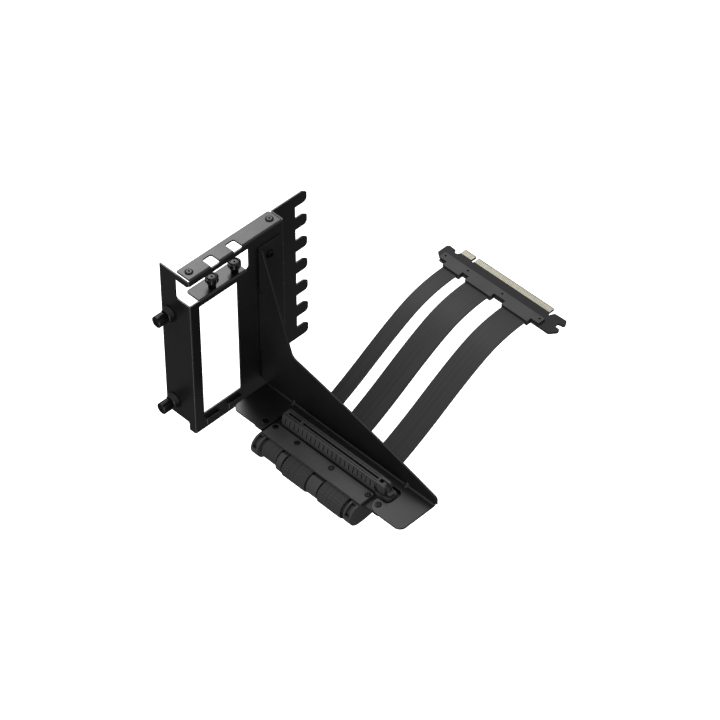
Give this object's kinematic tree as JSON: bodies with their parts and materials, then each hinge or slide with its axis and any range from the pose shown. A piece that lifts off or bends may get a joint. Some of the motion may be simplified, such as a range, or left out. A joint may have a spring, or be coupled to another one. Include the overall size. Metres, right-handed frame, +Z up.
{
  "type": "vertical graphics card bracket",
  "caption": "Folded steel bracket that holds a graphics card upright at a case's slots, with a support plate, a flat-cable riser, its card socket and its board plug.",
  "frame": {"origin": "midway between the two case screws, at the seat on the wing's inner face", "axes": "+X along the front plate from the wing to the comb, the way the case studs point; +Y back along the wing; +Z up"},
  "size_m": [0.2326, 0.196, 0.1526],
  "materials": {
    "black_powder_coat": "fine satin texture",
    "black_nickel": "polished, dark",
    "black_plastic": "moulded satin",
    "board_laminate": "black solder mask",
    "cable_jacket": "soft satin",
    "gold_plate": "plated"
  },
  "bodies": {
    "bracket": {"slot_frame": "black_powder_coat", "support_plate": "black_powder_coat", "case_ferrule_lower": "black_nickel", "case_ferrule_upper": "black_nickel", "top_screws": "black_nickel", "support_screws": "black_nickel", "riser_screws": "black_nickel", "riser_spacers": "black_plastic", "riser_board": "board_laminate", "socket_body": "black_plastic", "ribbon_narrow": "cable_jacket", "ribbon_middle": "cable_jacket", "ribbon_wide": "cable_jacket", "cable_guide": "black_plastic", "guide_cover": "black_plastic", "cover_screws": "black_nickel", "plug_board": "board_laminate", "plug_contacts": "gold_plate", "plug_cover": "black_plastic", "plug_under": "black_plastic", "plug_pins": "black_nickel"},
    "lower_case_screw": {"case_screw_lower": "black_nickel"},
    "upper_case_screw": {"case_screw_upper": "black_nickel"},
    "first_card_screw": {"card_screw_first": "black_nickel"},
    "second_card_screw": {"card_screw_second": "black_nickel"},
    "latch": {"socket_latch": "black_plastic"}
  },
  "joints": [
    {"name": "lower_case_screw_turn", "type": "hinge", "parent": "bracket", "child": "lower_case_screw", "pos_m": [0, 0, -0.04064], "axis": [1, 0, 0], "continuous": true},
    {"name": "upper_case_screw_turn", "type": "hinge", "parent": "bracket", "child": "upper_case_screw", "pos_m": [0, 0, 0.04064], "axis": [1, 0, 0], "continuous": true},
    {"name": "first_card_screw_turn", "type": "hinge", "parent": "bracket", "child": "first_card_screw", "pos_m": [0.0233, -0.0152, 0.05901], "axis": [0, 0, 1], "continuous": true},
    {"name": "second_card_screw_turn", "type": "hinge", "parent": "bracket", "child": "second_card_screw", "pos_m": [0.04362, -0.0152, 0.05901], "axis": [0, 0, 1], "continuous": true},
    {"name": "latch_tilt", "type": "hinge", "parent": "bracket", "child": "latch", "pos_m": [0.04526, -0.1546, -0.04564], "axis": [-1, 0, 0], "range_deg": [0, 22]}
  ]
}
